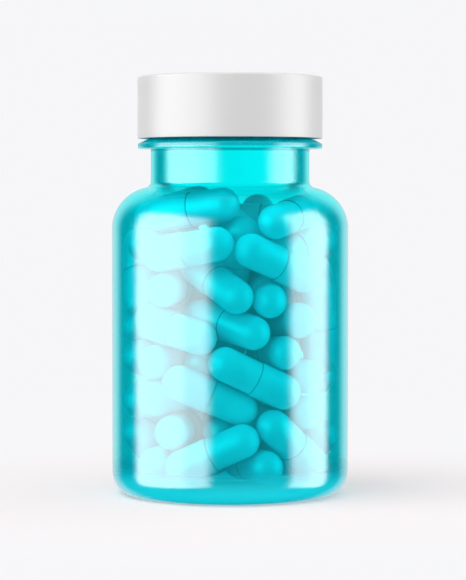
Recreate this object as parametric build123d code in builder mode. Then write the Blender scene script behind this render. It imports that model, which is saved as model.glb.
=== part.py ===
from build123d import *
import math
import os

import numpy as np

# A tinted plastic vial with a plain screw cap, filled with two-piece capsules.
# Millimetres. +Z is up. The origin is the centre of the standing ring, on the surface it rests on.
# Azimuths run from the front (-Y), positive towards +X.

# ---------------------------------------------------------------- driving dimensions

# Bottle body
body_diameter = 52.0
body_height = 67.55            # standing ring to the top of the shoulder
body_wall = 2.0
floor_thickness = 3.6          # standing ring to the flat inner floor
shoulder_radius = 9.35         # outside
heel_width = 4.2               # the heel is a quarter ellipse
heel_height = 5.2
inner_heel_radius = 2.5
standing_ring_width = 2.3
push_up = 1.4                  # hollow under the base

# Neck and finish
neck_diameter = 34.9
neck_wall = 1.55
neck_fillet = 1.5              # outside, where the neck meets the shoulder
collar_height = 8.3            # shoulder to the underside of the bead
bead_overhang = 2.82           # the bead stands out this far from the neck
bead_rim = 1.1                 # upright rim of the bead
bead_slope = 1.3               # height of the cone above the rim
bead_rounding = 0.25
finish_height = 10.95          # top of the bead to the mouth
mouth_rounding = 0.4

# Screw thread, right-handed, six turns to the inch
thread_pitch = 25.4 / 6
thread_height = 1.2
thread_crest = 1.0             # width at the crest
thread_flank = 0.5             # widening on each side per unit of height
thread_turns = 1.25
thread_setdown = 2.0           # mouth to the middle of the thread's upper end
thread_root_depth = 0.3        # how far a thread is sunk in its wall
thread_end_depth = 0.03        # what is left of the rib's depth at its two ends
thread_points = 24             # points per turn on each edge of the rib
thread_fade = 30.0             # degrees over which each end runs out

# Cap
cap_wall = 1.36
cap_top_thickness = 1.5
cap_rounding = 0.5
cap_gap_above_bead = 1.15
cap_mouth_bevel = 0.5
cap_thread_turns = 1.25
liner_lip_height = 0.5         # ring inside the cap that holds the liner up
liner_lip_depth = 0.3

# Liner
liner_thickness = 1.0

# Capsule, size 0: a short cap slipped over a longer body
capsule_length = 21.7
capsule_diameter = 7.65
capsule_cap_length = 10.8
capsule_shell = 0.11
powder_level = 0.8             # mouth of the capsule's body down to the powder

# Fits
thread_radial_clearance = 0.3  # crest to the facing wall
thread_axial_clearance = 0.12  # between the flanks that bear when the cap is tight
liner_side_clearance = 0.15
liner_lip_clearance = 0.05
capsule_slip = 0.045           # between a capsule's body and its cap
capsule_mouth_clearance = 0.05  # between the body's mouth and where it would meet the cap's dome
powder_clearance = 0.02
capsule_gap = 0.12             # least gap between two capsules
capsule_wall_gap = 0.15        # least gap between a capsule and the bottle

# Fill
fill_share = 0.52              # share of the room below the neck that the capsules take up
fill_rise = 2.8                # how far the heap may stand up into the neck
single_capsules = 40           # outer capsules, one node each; the rest lie inside the heap
fill_seed = 1

# How the heap settles
fill_spots = 4000              # places tried for the capsules that aren't laid by hand
fill_spread = 0.8              # share of the inside's cross-section that those places cover
fill_lie = (1, 1, 0.6)         # capsules lie rather than stand
laid_ease = 0.12               # how readily a hand-laid capsule moves, where the others have 1
laid_hold = 0.05               # share of its drift that each step takes back
sink_per_step = 0.03
settling_steps = 1500
easing_rounds = 30
easing_steps = 500
step_share = 0.5               # share of each push that one step carries out
overlap_left = 0.05            # worst overlap that may stay, as a share of the capsule gap

# Capsules against the front wall, laid by hand: azimuth of the middle in degrees, inset from
# the inner wall, height above the inner floor, then the cap end's direction as a swing round
# from the tangent (positive inwards) and a rise, in degrees.
front_capsules = [
    (16, 5.0, 22.9, 0, -22),
    (-15, 5.0, 6.6, 180, -24),
    (17, 10.8, 4.0, 100, 0),
    (41, 5.0, 7.7, 0, -36),
    (-13, 8.5, 17.9, 180, 20),
    (-51, 10.0, 11.9, 126, -8),
    (-29, 5.0, 48.0, 180, -34),
    (33, 5.0, 47.6, 0, -27),
    (44, 10.5, 39.4, 51, -3),
    (-2, 9.5, 34.4, 141, 5),
    (53, 11.6, 28.4, 54, -5),
    (-39, 5.0, 34.1, 180, 18),
    (75, 5.4, 32.4, 0, -75),
    (75, 9.5, 21.9, 31, -8),
    (76, 9.5, 14.9, 30, 0),
    (122, 15.7, 55.9, 39, 0),
    (-100, 11.0, 58.4, -125, -7),
    (-60, 10.0, 25.9, 125, 0),
    (-85, 9.0, 17.4, 110, 5),
    (-62, 9.0, 4.4, 150, 0),
    (-62, 10.0, 41.4, 130, 0),
    (-36, 10.0, 59.5, 180, -20),
    (50, 8.0, 56.4, 20, 5),
]

# ---------------------------------------------------------------- radii and levels that follow

body_radius = body_diameter / 2
inner_radius = body_radius - body_wall
neck_radius = neck_diameter / 2
bore_radius = neck_radius - neck_wall
bead_radius = neck_radius + bead_overhang
thread_radius = neck_radius + thread_height
cap_inner_radius = thread_radius + thread_radial_clearance
cap_radius = cap_inner_radius + cap_wall
cap_thread_radius = neck_radius + thread_radial_clearance
liner_radius = cap_inner_radius - liner_side_clearance

shoulder_centre = body_radius - shoulder_radius
shoulder_start = body_height - shoulder_radius
inner_shoulder_radius = shoulder_radius - body_wall
inner_shoulder_top = body_height - body_wall
neck_entry = neck_fillet + neck_wall

bead_bottom = body_height + collar_height
bead_rim_top = bead_bottom + bead_rim
bead_top = bead_rim_top + bead_slope
mouth = bead_top + finish_height
liner_top = mouth + liner_thickness
cap_top = liner_top + cap_top_thickness
cap_bottom = bead_rim_top + cap_gap_above_bead

# The cap's thread lies under the bottle's thread on the same helix, flank against flank.
thread_start = mouth - thread_setdown - thread_turns * thread_pitch
thread_overlap = thread_radius - cap_thread_radius
thread_spacing = thread_crest + thread_overlap * thread_flank + thread_axial_clearance
cap_thread_height = cap_inner_radius - cap_thread_radius
cap_thread_start = cap_bottom + cap_mouth_bevel + thread_crest / 2 + cap_thread_height * thread_flank
cap_thread_lead = (cap_thread_start + thread_spacing - thread_start) / thread_pitch

capsule_radius = capsule_diameter / 2
capsule_bore_radius = capsule_radius - capsule_shell
capsule_body_radius = capsule_bore_radius - capsule_slip
dome_entry = math.sqrt(capsule_bore_radius**2 - capsule_body_radius**2)
capsule_body_length = capsule_length - capsule_radius + dome_entry - capsule_mouth_clearance
powder_radius = capsule_body_radius - capsule_shell - powder_clearance

os.makedirs("parts", exist_ok=True)


def write(part, name):
    """Label a finished piece and write its STEP file."""
    part.label = name
    export_step(part, f"parts/{name}.step")


# ---------------------------------------------------------------- bottle


def shoulder_line(arc_radius, neck, fillet_radius):
    """Draw the shoulder's arc and the fillet that leads it into a neck of the given radius.

    A wide body has a flat ring between the two. Returns the level where the neck's straight starts.
    """
    fillet_centre = neck + fillet_radius
    reach = max(0.0, fillet_centre - shoulder_centre)
    climb = math.sqrt((arc_radius + fillet_radius) ** 2 - reach**2)
    turn = math.degrees(math.atan2(climb, reach))
    arc = CenterArc((shoulder_centre, shoulder_start), arc_radius, 0, turn)
    lead = CenterArc((fillet_centre, shoulder_start + climb), fillet_radius, 180 + turn, -turn)
    if fillet_centre < shoulder_centre:
        Line(arc @ 1, lead @ 0)
    return shoulder_start + climb


def thread_rib(root_radius, crest_radius, start_level, start_turn, turns):
    """A helical rib with straight flanks, whose crest sinks into the wall towards each end.

    The crest lies outside the root on a neck, and inside it in a cap.
    """
    outward = math.copysign(1.0, crest_radius - root_radius)
    full_depth = abs(crest_radius - root_radius) + thread_root_depth
    fade_turns = thread_fade / 360
    steps = math.ceil(turns * thread_points)

    def edge(at_crest, side):
        points = []
        for step in range(steps + 1):
            turn = turns * step / steps
            rise = min(1.0, turn / fade_turns, (turns - turn) / fade_turns)
            swell = math.sin(rise * math.pi / 2) ** 2
            crest_depth = thread_end_depth + (full_depth - thread_end_depth) * swell
            depth = crest_depth if at_crest else 0.0
            half_width = thread_crest / 2 + (full_depth - depth) * thread_flank
            angle = 2 * math.pi * (start_turn + turn)
            radius = root_radius + outward * (depth - thread_root_depth)
            level = start_level + turn * thread_pitch + side * half_width
            points.append(Vector(radius * math.cos(angle), radius * math.sin(angle), level))
        return Edge.make_spline(points)

    root_low, crest_low = edge(False, -1), edge(True, -1)
    crest_high, root_high = edge(True, 1), edge(False, 1)
    loop = [root_low, crest_low, crest_high, root_high]
    faces = []
    for first, second in zip(loop, loop[1:] + loop[:1]):
        faces.append(Face.make_surface_from_curves(first, second))
    for end in (0, 1):
        faces.append(Face(Wire.make_polygon([curve @ end for curve in loop])))
    return Solid(Shell(faces))


with BuildPart() as bottle:
    with BuildSketch(Plane.XZ):
        with BuildLine():
            heel_foot = body_radius - heel_width
            ring_edge = heel_foot - standing_ring_width
            TangentArc((0, push_up), (ring_edge, 0), tangent=(1, 0))
            Line((ring_edge, 0), (heel_foot, 0))
            EllipticalCenterArc((heel_foot, heel_height), heel_width, heel_height, -90, arc_size=90)
            Line((body_radius, heel_height), (body_radius, shoulder_start))
            neck_start = shoulder_line(shoulder_radius, neck_radius, neck_fillet)
            Polyline(
                (neck_radius, neck_start),
                (neck_radius, bead_bottom),
                (bead_radius, bead_bottom),
                (bead_radius, bead_rim_top),
                (neck_radius, bead_top),
                (neck_radius, mouth),
                (0, mouth),
                (0, push_up),
            )
        make_face()
    revolve(axis=Axis.Z)
    rim_edges = bottle.edges().filter_by(GeomType.CIRCLE).filter_by(lambda e: e.radius > neck_radius)
    rim_edges = rim_edges.filter_by_position(Axis.Z, bead_bottom, bead_rim_top).group_by(SortBy.RADIUS)[-1]
    fillet(rim_edges, bead_rounding)

    # The room inside, from the flat floor to the mouth
    with BuildSketch(Plane.XZ):
        with BuildLine():
            Line((0, floor_thickness), (inner_radius - inner_heel_radius, floor_thickness))
            heel_centre = (inner_radius - inner_heel_radius, floor_thickness + inner_heel_radius)
            CenterArc(heel_centre, inner_heel_radius, -90, 90)
            Line((inner_radius, heel_centre[1]), (inner_radius, shoulder_start))
            entry_level = shoulder_line(inner_shoulder_radius, bore_radius, neck_entry)
            Polyline((bore_radius, entry_level), (bore_radius, mouth), (0, mouth), (0, floor_thickness))
        make_face()
    revolve(axis=Axis.Z, mode=Mode.SUBTRACT)
    fillet(bottle.edges().filter_by_position(Axis.Z, mouth, mouth), mouth_rounding)
    add(thread_rib(neck_radius, thread_radius, thread_start, 0, thread_turns))
write(bottle.part, "bottle")


# ---------------------------------------------------------------- cap and liner

with BuildPart() as cap:
    with BuildSketch(Plane.XY.offset(cap_bottom)):
        Circle(cap_radius)
    extrude(amount=cap_top - cap_bottom)
    fillet(cap.edges().sort_by(Axis.Z)[-1], cap_rounding)
    with BuildSketch(Plane.XY.offset(cap_bottom)):
        Circle(cap_inner_radius)
    extrude(amount=liner_top - cap_bottom, mode=Mode.SUBTRACT)
    skirt_edges = cap.edges().filter_by_position(Axis.Z, cap_bottom, cap_bottom)
    chamfer(skirt_edges.sort_by(SortBy.RADIUS)[0], cap_mouth_bevel)
    with BuildSketch(Plane.XY.offset(mouth - liner_lip_clearance)):
        Circle(cap_inner_radius)
        Circle(cap_inner_radius - liner_lip_depth, mode=Mode.SUBTRACT)
    extrude(amount=-liner_lip_height)
    add(thread_rib(cap_inner_radius, cap_thread_radius, cap_thread_start, cap_thread_lead, cap_thread_turns))
write(cap.part, "cap")

with BuildPart() as cap_liner:
    with BuildSketch(Plane.XY.offset(mouth)):
        Circle(liner_radius)
    extrude(amount=liner_thickness)
write(cap_liner.part, "cap_liner")


# ---------------------------------------------------------------- capsules


def capsule_cup(radius, length):
    """One half of a capsule: a thin round-ended cup standing on its dome at the origin."""
    inner = radius - capsule_shell
    with BuildPart() as cup:
        with BuildSketch(Plane.XZ):
            with BuildLine():
                outside = CenterArc((0, radius), radius, -90, 90)
                inside = CenterArc((0, radius), inner, -90, 90)
                Polyline(outside @ 1, (radius, length), (inner, length), inside @ 1)
                Line(outside @ 0, inside @ 0)
            make_face()
        revolve(axis=Axis.Z)
    return cup.part


with BuildPart() as powder:
    with BuildSketch(Plane.XZ):
        with BuildLine():
            powder_top = capsule_body_length - powder_level
            dome = CenterArc((0, capsule_body_radius), powder_radius, -90, 90)
            Polyline(dome @ 1, (powder_radius, powder_top), (0, powder_top), dome @ 0)
        make_face()
    revolve(axis=Axis.Z)

# A closed capsule about its own middle, its cap towards +Z
body_end = Pos(0, 0, -capsule_length / 2)
cap_end = Pos(0, 0, capsule_length / 2) * Rot(X=180)
capsule_pieces = [
    body_end * capsule_cup(capsule_body_radius, capsule_body_length),
    body_end * powder.part,
    cap_end * capsule_cup(capsule_radius, capsule_cap_length),
]
capsule_solids = [solid for piece in capsule_pieces for solid in piece.solids()]

# The heap: capsules as rods with round ends, eased apart until none touches another or the bottle.
rod_radius = capsule_radius + capsule_gap / 2
rod_half = capsule_length / 2 - capsule_radius
wall_reach = capsule_radius + capsule_wall_gap
spin_inertia = rod_half**2 / 3 + rod_radius**2


def laid(azimuth, inset, height, swing, rise):
    """Middle and direction of a capsule laid by hand."""
    around, turned, tipped = (math.radians(angle) for angle in (azimuth, swing, rise))
    outward = np.array([math.sin(around), -math.cos(around), 0])
    tangent = np.array([math.cos(around), math.sin(around), 0])
    level = math.cos(turned) * tangent - math.sin(turned) * outward
    middle = (inner_radius - inset) * outward + np.array([0, 0, floor_thickness + height])
    return middle, math.cos(tipped) * level + np.array([0, 0, math.sin(tipped)])


def nearest(middle_a, along_a, middle_b, along_b):
    """Where on each of two rods' centre lines they come nearest, as distances from their middles."""
    between = middle_a - middle_b
    slant = np.sum(along_a * along_b, axis=1)
    down_a = np.sum(along_a * between, axis=1)
    down_b = np.sum(along_b * between, axis=1)
    skew = np.maximum(1 - slant**2, 1e-9)
    at_a = np.clip((slant * down_b - down_a) / skew, -rod_half, rod_half)
    at_b = np.clip(slant * at_a + down_b, -rod_half, rod_half)
    at_a = np.clip(slant * at_b - down_a, -rod_half, rod_half)
    return at_a, at_b


def into_room(ends):
    """The shift that brings each rod end back to where its dome clears the bottle's inside."""
    out = np.hypot(ends[:, 0], ends[:, 1])
    outward = ends[:, :2] / np.maximum(out, 1e-9)[:, None]
    level = ends[:, 2]
    raised = level > shoulder_start
    shift_out = np.where(raised, 0, -np.maximum(out - (inner_radius - wall_reach), 0))
    shift_up = np.maximum(floor_thickness + wall_reach - level, 0)

    # Shoulder: inside a ring-shaped arc about the shoulder's centre
    past = np.maximum(out - shoulder_centre, 0)
    above = np.maximum(level - shoulder_start, 0)
    far = np.maximum(np.hypot(past, above), 1e-9)
    over = np.where(raised & (past > 0), np.maximum(far - (inner_shoulder_radius - wall_reach), 0), 0)
    shift_out -= over * past / far
    shift_up -= over * above / far

    # Way into the neck: outside the rounding between shoulder and bore
    entry = bore_radius + neck_entry
    from_out, from_level = out - entry, level - entry_level
    near = np.maximum(np.hypot(from_out, from_level), 1e-9)
    over = np.where(raised & (out < shoulder_centre), np.maximum(neck_entry + wall_reach - near, 0), 0)
    shift_out += over * from_out / near
    shift_up += over * from_level / near

    # Flat ring of a wide shoulder, and the top of the heap
    flat = (out > entry) & (out < shoulder_centre)
    shift_up -= np.where(flat, np.maximum(level - (inner_shoulder_top - wall_reach), 0), 0)
    shift_up -= np.maximum(level - (inner_shoulder_top + fill_rise - wall_reach), 0)
    return np.column_stack([outward * shift_out[:, None], shift_up])


def ease(middles, alongs, ease_of_moving, steps, sink=0.0, hold=0.0, shake=None):
    """Push overlapping rods apart for some steps, and return them with the worst overlap left.

    Meanwhile the rods sink, the hand-laid ones are drawn back to where they started, and the
    others are shaken, all three dying away.
    """
    count, held = len(middles), len(front_capsules)
    first, second = np.triu_indices(count, 1)
    laid_middles, laid_alongs = middles[:held], alongs[:held]
    worst = 0.0
    for step in range(steps):
        fading = 1 - step / steps
        close = np.sum((middles[first] - middles[second]) ** 2, axis=1) < (2 * (rod_radius + rod_half)) ** 2
        a, b = first[close], second[close]
        at_a, at_b = nearest(middles[a], alongs[a], middles[b], alongs[b])
        arm_a, arm_b = at_a[:, None] * alongs[a], at_b[:, None] * alongs[b]
        apart = middles[a] + arm_a - middles[b] - arm_b
        distance = np.maximum(np.linalg.norm(apart, axis=1), 1e-9)
        overlap = np.maximum(2 * rod_radius - distance, 0)
        push = apart * (overlap / distance / (ease_of_moving[a] + ease_of_moving[b]))[:, None]
        move, turn = np.zeros_like(middles), np.zeros_like(middles)
        np.add.at(move, a, push * ease_of_moving[a, None])
        np.add.at(move, b, -push * ease_of_moving[b, None])
        np.add.at(turn, a, np.cross(arm_a, push) * ease_of_moving[a, None] / spin_inertia)
        np.add.at(turn, b, np.cross(arm_b, -push) * ease_of_moving[b, None] / spin_inertia)
        worst = overlap.max()
        for side in (-rod_half, rod_half):
            shift = into_room(middles + side * alongs)
            move += shift
            turn += np.cross(side * alongs, shift) / spin_inertia
            worst = max(worst, np.abs(shift).max())
        move[:, 2] -= sink * ease_of_moving * fading
        move[:held] += hold * fading * (laid_middles - middles[:held])
        turn[:held] += hold * fading * np.cross(alongs[:held], laid_alongs)
        if shake is not None:
            move[held:] += shake.normal(size=(count - held, 3)) * sink * fading
        middles = middles + move * step_share
        alongs = alongs + np.cross(turn, alongs) * step_share
        alongs /= np.linalg.norm(alongs, axis=1)[:, None]
    return middles, alongs, worst


def heap():
    """Middles and directions of all the capsules: the hand-laid ones first, then the fill."""
    rod_volume = math.pi * capsule_radius**2 * (2 * rod_half + capsule_radius * 4 / 3)
    room_volume = math.pi * inner_radius**2 * (inner_shoulder_top - floor_thickness)
    count = round(fill_share * room_volume / rod_volume)
    random = np.random.default_rng(fill_seed)
    around = random.uniform(0, 2 * math.pi, fill_spots)
    out = (inner_radius - wall_reach) * np.sqrt(random.uniform(0, fill_spread, fill_spots))
    level = random.uniform(floor_thickness + wall_reach, shoulder_start, fill_spots)
    spot_middles = np.column_stack([out * np.cos(around), out * np.sin(around), level])
    spot_alongs = random.normal(size=(fill_spots, 3)) * fill_lie
    spot_alongs /= np.linalg.norm(spot_alongs, axis=1)[:, None]

    placed = [laid(*capsule) for capsule in front_capsules]
    room_left = np.full(fill_spots, np.inf)
    for index in range(count):
        if index >= len(front_capsules):
            choice = room_left.argmax()
            placed.append((spot_middles[choice], spot_alongs[choice]))
        middle, along = (np.tile(value, (fill_spots, 1)) for value in placed[index])
        at_spot, at_placed = nearest(spot_middles, spot_alongs, middle, along)
        gap = spot_middles + at_spot[:, None] * spot_alongs - middle - at_placed[:, None] * along
        room_left = np.minimum(room_left, np.linalg.norm(gap, axis=1))
    middles, alongs = (np.array(values) for values in zip(*placed))

    ready = np.where(np.arange(count) < len(front_capsules), laid_ease, 1.0)
    middles, alongs, worst = ease(middles, alongs, ready, settling_steps, sink_per_step, laid_hold, random)
    for _ in range(easing_rounds):
        middles, alongs, worst = ease(middles, alongs, ready, easing_steps)
        if worst < capsule_gap * overlap_left:
            break
    print(f"{count} capsules, worst overlap left {worst:.4f} mm of a {capsule_gap} mm gap")
    return middles, alongs


middles, alongs = heap()
tip_out = np.maximum(
    np.hypot(*(middles + rod_half * alongs)[:, :2].T),
    np.hypot(*(middles - rod_half * alongs)[:, :2].T),
)
tip_up = middles[:, 2] + rod_half * np.abs(alongs[:, 2])
hidden = np.minimum(inner_radius - tip_out, inner_shoulder_top - tip_up)
outer = np.sort(np.argsort(hidden, kind="stable")[:single_capsules])
core_solids = []
for index, (middle, along) in enumerate(zip(middles, alongs)):
    place = Plane(origin=tuple(middle), z_dir=tuple(along)).location
    solids = [solid.moved(place) for solid in capsule_solids]
    if index in outer:
        number = int(np.searchsorted(outer, index)) + 1
        write(Compound(solids), f"capsule_{number:02d}")
    else:
        core_solids.extend(solids)
write(Compound(core_solids), "capsules_core")
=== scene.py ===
"""A tinted translucent vial of capsules under a plain white screw cap, in soft studio light.

Lengths are in metres, +Z is up and the vial stands on the origin. Every new piece is a profile
turned about an axis and worked out with numpy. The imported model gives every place.
"""

import logging
import math
from collections.abc import Callable, Sequence
from dataclasses import dataclass, field
from enum import Enum

import bpy
import numpy as np
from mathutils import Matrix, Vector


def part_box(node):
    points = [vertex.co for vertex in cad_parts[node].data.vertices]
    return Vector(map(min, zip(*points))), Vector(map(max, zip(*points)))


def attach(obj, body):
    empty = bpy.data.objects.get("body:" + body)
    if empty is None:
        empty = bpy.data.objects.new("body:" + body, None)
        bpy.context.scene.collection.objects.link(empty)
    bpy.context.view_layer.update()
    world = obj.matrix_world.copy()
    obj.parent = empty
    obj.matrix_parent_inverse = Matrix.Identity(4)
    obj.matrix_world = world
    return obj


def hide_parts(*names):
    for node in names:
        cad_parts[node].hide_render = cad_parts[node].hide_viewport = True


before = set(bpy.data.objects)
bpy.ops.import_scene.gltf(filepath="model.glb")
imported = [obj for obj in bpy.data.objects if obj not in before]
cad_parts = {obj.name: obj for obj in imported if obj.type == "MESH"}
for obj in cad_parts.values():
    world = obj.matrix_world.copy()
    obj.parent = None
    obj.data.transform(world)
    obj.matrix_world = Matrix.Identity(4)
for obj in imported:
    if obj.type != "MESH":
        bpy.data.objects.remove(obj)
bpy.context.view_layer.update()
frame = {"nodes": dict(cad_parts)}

log = logging.getLogger("vial")
Array = np.ndarray
Colour = tuple[float, float, float]
Span = tuple[float, float]

MM = 0.001
HAIR = 1e-6  # far below any size here


# ---------------------------------------------------------------- shader trees


class Value:
    """A number on a node's socket. Arithmetic on it adds Math nodes."""

    def __init__(self, tree: "Tree", socket: bpy.types.NodeSocket) -> None:
        """Wrap a socket of a tree."""
        self.tree = tree
        self.socket = socket

    def _maths(self, operation: str, *others: "Value | float", first: float | None = None) -> "Value":
        """Add a Math node.

        Args:
            operation: The node's operation.
            others: What follows this value in the operation.
            first: What stands before this value instead, for a reflected operator.

        Returns:
            The node's result.
        """
        operands = (self, *others) if first is None else (first, self)
        return self.tree.value("ShaderNodeMath", 0, {"operation": operation}, dict(enumerate(operands)))

    def __add__(self, other: "Value | float") -> "Value":
        """Sum of two values."""
        return self._maths("ADD", other)

    __radd__ = __add__

    def __sub__(self, other: "Value | float") -> "Value":
        """Difference of two values."""
        return self._maths("SUBTRACT", other)

    def __rsub__(self, other: float) -> "Value":
        """A number less this value."""
        return self._maths("SUBTRACT", first=other)

    def __mul__(self, other: "Value | float") -> "Value":
        """Product of two values."""
        return self._maths("MULTIPLY", other)

    __rmul__ = __mul__

    def __truediv__(self, other: "Value | float") -> "Value":
        """Quotient of two values."""
        return self._maths("DIVIDE", other)

    def __pow__(self, other: float) -> "Value":
        """This value to a power."""
        return self._maths("POWER", other)

    def __abs__(self) -> "Value":
        """This value without its sign."""
        return self._maths("ABSOLUTE")

    def least(self, other: "Value | float") -> "Value":
        """The smaller of two values."""
        return self._maths("MINIMUM", other)

    def most(self, other: "Value | float") -> "Value":
        """The larger of two values."""
        return self._maths("MAXIMUM", other)

    def root(self) -> "Value":
        """Square root."""
        return self._maths("SQRT")

    def eased(self, low: float, high: float) -> "Value":
        """Rise smoothly from 0 at low to 1 at high.

        Args:
            low: Where the rise starts.
            high: Where it ends.

        Returns:
            The eased value.
        """
        inputs = {"Value": self, "From Min": low, "From Max": high}
        return self.tree.value("ShaderNodeMapRange", "Result", {"interpolation_type": "SMOOTHSTEP"}, inputs)


Link = Value | bpy.types.NodeSocket | float | Sequence[float]


class Tree:
    """A node tree that is filled one node at a time."""

    def __init__(self, owner: bpy.types.Material | bpy.types.World) -> None:
        """Clear the tree of a material or a world.

        Args:
            owner: The material or world.
        """
        owner.use_nodes = True
        self.tree = owner.node_tree
        self.tree.nodes.clear()

    def node(self, kind: str, settings: dict[str, object] | None = None,
             inputs: dict[str | int, Link] | None = None) -> bpy.types.Node:
        """Add a node.

        Args:
            kind: The node's type.
            settings: Its properties, which are set first.
            inputs: Values or links for its sockets, by name or number. A colour has three numbers.

        Returns:
            The new node.
        """
        made = self.tree.nodes.new(kind)
        for name, setting in (settings or {}).items():
            setattr(made, name, setting)
        for key, given in (inputs or {}).items():
            socket = made.inputs[key]
            source = given.socket if isinstance(given, Value) else given
            if isinstance(source, bpy.types.NodeSocket):
                self.tree.links.new(source, socket)
            else:
                socket.default_value = (*source, 1.0) if socket.type == "RGBA" else source
        return made

    def value(self, kind: str, output: str | int, settings: dict[str, object] | None = None,
              inputs: dict[str | int, Link] | None = None) -> Value:
        """Add a node and wrap one of its outputs, with the arguments of node()."""
        return Value(self, self.node(kind, settings, inputs).outputs[output])

    def parts(self, vector: bpy.types.NodeSocket) -> tuple[Value, Value, Value]:
        """The three numbers of a vector."""
        x, y, z = self.node("ShaderNodeSeparateXYZ", None, {0: vector}).outputs
        return Value(self, x), Value(self, y), Value(self, z)

    def place(self) -> bpy.types.NodeSocket:
        """Object coordinates, in metres."""
        return self.node("ShaderNodeTexCoord").outputs["Object"]

    def noise(self, grain: float, detail: float = 2.0) -> Value:
        """Soft noise.

        Args:
            grain: Size of one blotch, in metres.
            detail: Layers of finer noise.

        Returns:
            A value about 0.5.
        """
        inputs = {"Vector": self.place(), "Scale": 1 / grain, "Detail": detail}
        return self.value("ShaderNodeTexNoise", "Fac", None, inputs)

    def blend(self, share: Value | float, first: Link, second: Link) -> bpy.types.NodeSocket:
        """Colour between two colours, 0 for the first and 1 for the second."""
        return self.node("ShaderNodeMix", {"data_type": "RGBA"}, {0: share, 6: first, 7: second}).outputs[2]

    def bump(self, height: Value, depth: float) -> bpy.types.NodeSocket:
        """Normal of a surface that rises by depth metres where height is 1."""
        inputs = {"Height": height, "Distance": depth, "Strength": 1.0}
        return self.node("ShaderNodeBump", None, inputs).outputs["Normal"]

    def facing(self) -> Value:
        """Cosine of the angle between the surface's normal and the ray, on either side."""
        return 1 - self.value("ShaderNodeLayerWeight", "Facing", None, {"Blend": 0.5})

    def mix(self, share: Value | float, first: bpy.types.NodeSocket,
            second: bpy.types.NodeSocket) -> bpy.types.NodeSocket:
        """Shader between two shaders, 0 for the first and 1 for the second."""
        return self.node("ShaderNodeMixShader", None, {0: share, 1: first, 2: second}).outputs[0]

    def clear(self, tint: Colour) -> bpy.types.NodeSocket:
        """Transparent shader of a tint."""
        return self.node("ShaderNodeBsdfTransparent", None, {"Color": tint}).outputs[0]

    def gloss(self, tint: Colour, rough: Value, normal: bpy.types.NodeSocket) -> bpy.types.NodeSocket:
        """Mirror-like shader whose blur dies away quickly."""
        inputs = {"Color": tint, "Roughness": rough, "Normal": normal}
        return self.node("ShaderNodeBsdfAnisotropic", {"distribution": "BECKMANN"}, inputs).outputs[0]

    def principled(self, **inputs: Link) -> bpy.types.NodeSocket:
        """Principled shader. Underscores in the names stand for blanks."""
        named = {name.replace("_", " "): given for name, given in inputs.items()}
        return self.node("ShaderNodeBsdfPrincipled", None, named).outputs[0]

    def finish(self, shader: bpy.types.NodeSocket) -> None:
        """Link the shader to the material's output."""
        self.node("ShaderNodeOutputMaterial", None, {"Surface": shader})


# ---------------------------------------------------------------- finishes


@dataclass(frozen=True)
class Satin:
    """How a satin skin varies: broad clouds and a fine grain.

    cloud and grain are the sizes of their blotches and cloud_blur and grain_blur the spread of
    roughness that each brings. ripple is the height of the grain.
    """

    cloud: float
    grain: float
    cloud_blur: float
    grain_blur: float
    ripple: float
    cloud_layers: float = 2.0
    grain_layers: float = 3.0

    def skin(self, tree: Tree, roughness: Value | float) -> tuple[Value, Value, bpy.types.NodeSocket]:
        """Add the skin's noise.

        Args:
            tree: The material's tree.
            roughness: The even roughness that the noise varies.

        Returns:
            The clouds, the roughness and the normal.
        """
        clouds = tree.noise(self.cloud, self.cloud_layers)
        grain = tree.noise(self.grain, self.grain_layers)
        rough = roughness + (grain - 0.5) * self.grain_blur + (clouds - 0.5) * self.cloud_blur
        return clouds, rough, tree.bump(grain, self.ripple)


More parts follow.
